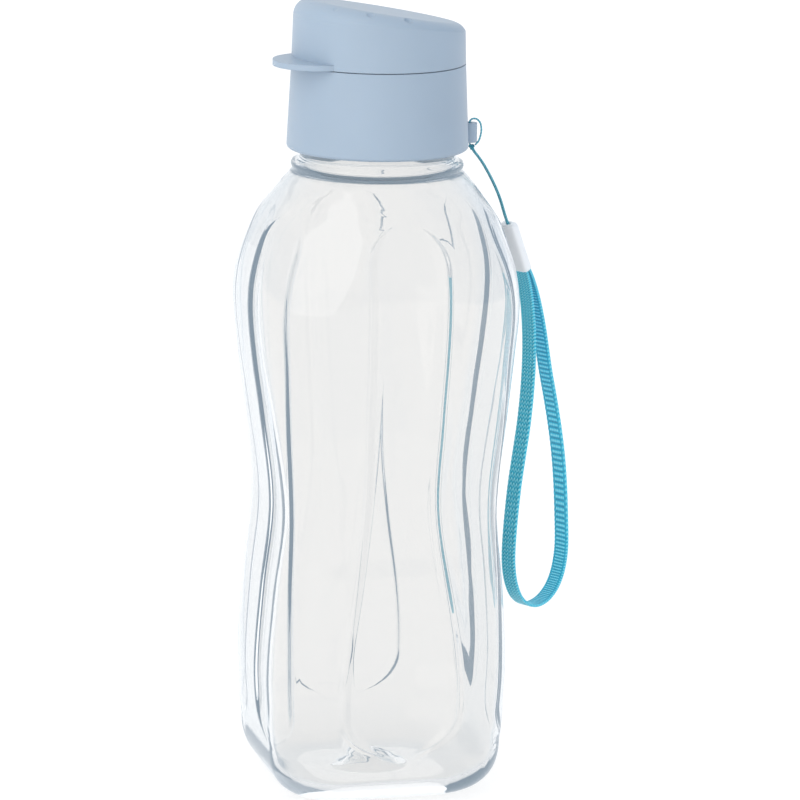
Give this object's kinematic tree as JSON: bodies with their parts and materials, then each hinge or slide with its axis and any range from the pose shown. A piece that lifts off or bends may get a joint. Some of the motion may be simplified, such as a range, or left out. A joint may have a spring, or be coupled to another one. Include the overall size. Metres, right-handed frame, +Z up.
{
  "type": "sports bottle",
  "caption": "Clear rigid hourglass drinking bottle with grip panels, a screw cap with a hinged flip-top lid, and a woven wrist loop on a thin cord.",
  "frame": {"origin": "centre of the base, on the bottle's axis", "axes": "+Z up along the bottle's axis; a broad grip panel faces -Y and the strap's lug +X; the thumb tab points 14 degrees past -X, toward -Y, and the lid's hinge is opposite it"},
  "size_m": [0.0935, 0.069, 0.2032],
  "materials": {
    "clear_shell": "polished clear rigid plastic",
    "cap_plastic": "satin moulded pale blue",
    "lid_plastic": "satin moulded pale blue",
    "seal_rubber": "soft white silicone",
    "pin_steel": "drawn wire",
    "cord_nylon": "twisted nylon",
    "sleeve_plastic": "milky soft plastic",
    "webbing": "woven polyester"
  },
  "bodies": {
    "bottle": {"bottle_body": "clear_shell"},
    "carrier": {"neck_gasket": "seal_rubber"},
    "cap": {"cap_collar": "cap_plastic", "hinge_pin": "pin_steel", "cord_loop": "cord_nylon"},
    "lid": {"flip_lid": "lid_plastic", "lid_seal": "seal_rubber"},
    "strap": {"cord_knot": "cord_nylon", "strap_cord": "cord_nylon", "strap_crimp": "pin_steel", "strap_sleeve": "sleeve_plastic", "strap_webbing": "webbing"}
  },
  "joints": [
    {"name": "cap_rise", "type": "slide", "parent": "bottle", "child": "carrier", "axis": [0, 0, 1], "range_m": [0, 0.0126]},
    {"name": "cap_turn", "type": "hinge", "parent": "carrier", "child": "cap", "pos_m": [0, 0, 0.175], "axis": [0, 0, 1], "range_deg": [0, 900]},
    {"name": "lid_hinge", "type": "hinge", "parent": "cap", "child": "lid", "pos_m": [0.0197, 0.00491, 0.187], "axis": [-0.2419, 0.9703, 0], "range_deg": [0, 105]},
    {"name": "strap_swing", "type": "hinge", "parent": "cap", "child": "strap", "pos_m": [0.0247, 0, 0.1647], "axis": [0, -1, 0], "range_deg": [0, 60]}
  ],
  "couplings": [
    {"joint": "cap_rise", "follows": "cap_turn", "m_per_rad": 0.00079577}
  ]
}
